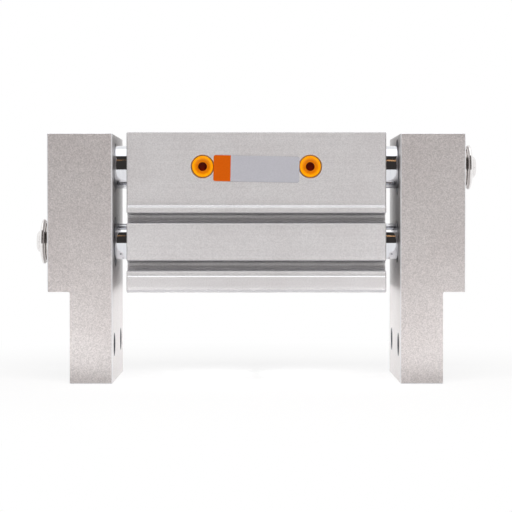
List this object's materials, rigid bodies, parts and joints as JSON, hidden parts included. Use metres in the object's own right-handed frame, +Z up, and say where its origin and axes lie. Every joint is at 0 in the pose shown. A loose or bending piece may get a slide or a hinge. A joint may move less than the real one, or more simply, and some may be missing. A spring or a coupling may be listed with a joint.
{
  "type": "parallel gripper",
  "caption": "Pneumatic wide-opening parallel gripper: grooved rectangular housing with two stepped fingers on chromed rods, moved together by facing pistons, racks and a pinion.",
  "frame": {"origin": "centre of the top mounting face of the housing, which is also the centre of its bolt pattern", "axes": "+X along the housing from the left finger to the right finger, -Y towards the front with the air ports, +Z up out of the top mounting face"},
  "size_m": [0.1704, 0.06, 0.0958],
  "materials": {
    "housing_aluminium": "clear anodised extrusion, satin",
    "finger_aluminium": "fine sandblasted and clear anodised",
    "gland_aluminium": "turned, clear anodised",
    "hard_chrome": "polished hard chrome",
    "bright_nickel": "bright nickel plating",
    "ground_steel": "ground steel",
    "spring_steel": "black phosphated spring steel",
    "bronze": "sintered bronze",
    "black_rubber": "matt nitrile rubber",
    "bumper_rubber": "urethane",
    "magnet": "matt pressed ferrite",
    "wear_plastic": "filled resin band",
    "orange_plastic": "moulded polyethylene",
    "label_film": "bare printed film, grey with an orange block"
  },
  "bodies": {
    "housing_body": {"housing": "housing_aluminium", "guide_bushes": "bronze", "guide_scrapers": "black_rubber", "guide_retaining_rings": "spring_steel", "left_gland": "gland_aluminium", "right_gland": "gland_aluminium", "gland_o_rings": "black_rubber", "rod_seals": "black_rubber", "rod_bushes": "bronze", "rod_scrapers": "black_rubber", "gland_retaining_rings": "spring_steel", "gland_bumpers": "bumper_rubber", "rack_bushes": "bronze", "pinion_pin": "ground_steel", "pinion_cover": "gland_aluminium", "pinion_cover_o_ring": "black_rubber", "pinion_cover_ring": "spring_steel", "left_port_plug": "orange_plastic", "right_port_plug": "orange_plastic", "label": "label_film"},
    "left_finger_body": {"left_finger": "finger_aluminium", "left_guide_rod": "hard_chrome", "left_piston_rod": "hard_chrome", "left_piston": "gland_aluminium", "left_piston_seal": "black_rubber", "left_magnet_ring": "magnet", "left_wear_ring": "wear_plastic", "left_piston_bumper": "bumper_rubber", "left_rack": "ground_steel", "left_rack_set_screw": "spring_steel", "left_rod_screw": "bright_nickel", "left_spring_washer": "bright_nickel"},
    "right_finger_body": {"right_finger": "finger_aluminium", "right_guide_rod": "hard_chrome", "right_piston_rod": "hard_chrome", "right_piston": "gland_aluminium", "right_piston_seal": "black_rubber", "right_magnet_ring": "magnet", "right_wear_ring": "wear_plastic", "right_piston_bumper": "bumper_rubber", "right_rack": "ground_steel", "right_rack_set_screw": "spring_steel", "right_rod_screw": "bright_nickel", "right_spring_washer": "bright_nickel"},
    "pinion_body": {"pinion": "ground_steel"}
  },
  "joints": [
    {"name": "left_finger_slide", "type": "slide", "parent": "housing_body", "child": "left_finger_body", "axis": [-1, 0, 0], "range_m": [0, 0.02]},
    {"name": "right_finger_slide", "type": "slide", "parent": "housing_body", "child": "right_finger_body", "axis": [1, 0, 0], "range_m": [0, 0.02]},
    {"name": "pinion_spin", "type": "hinge", "parent": "housing_body", "child": "pinion_body", "pos_m": [0, 0.014, -0.0278], "axis": [0, -1, 0], "range_deg": [0, 143.3]}
  ],
  "couplings": [
    {"joint": "right_finger_slide", "follows": "left_finger_slide", "ratio": 1},
    {"joint": "pinion_spin", "follows": "left_finger_slide", "rad_per_m": 125}
  ]
}
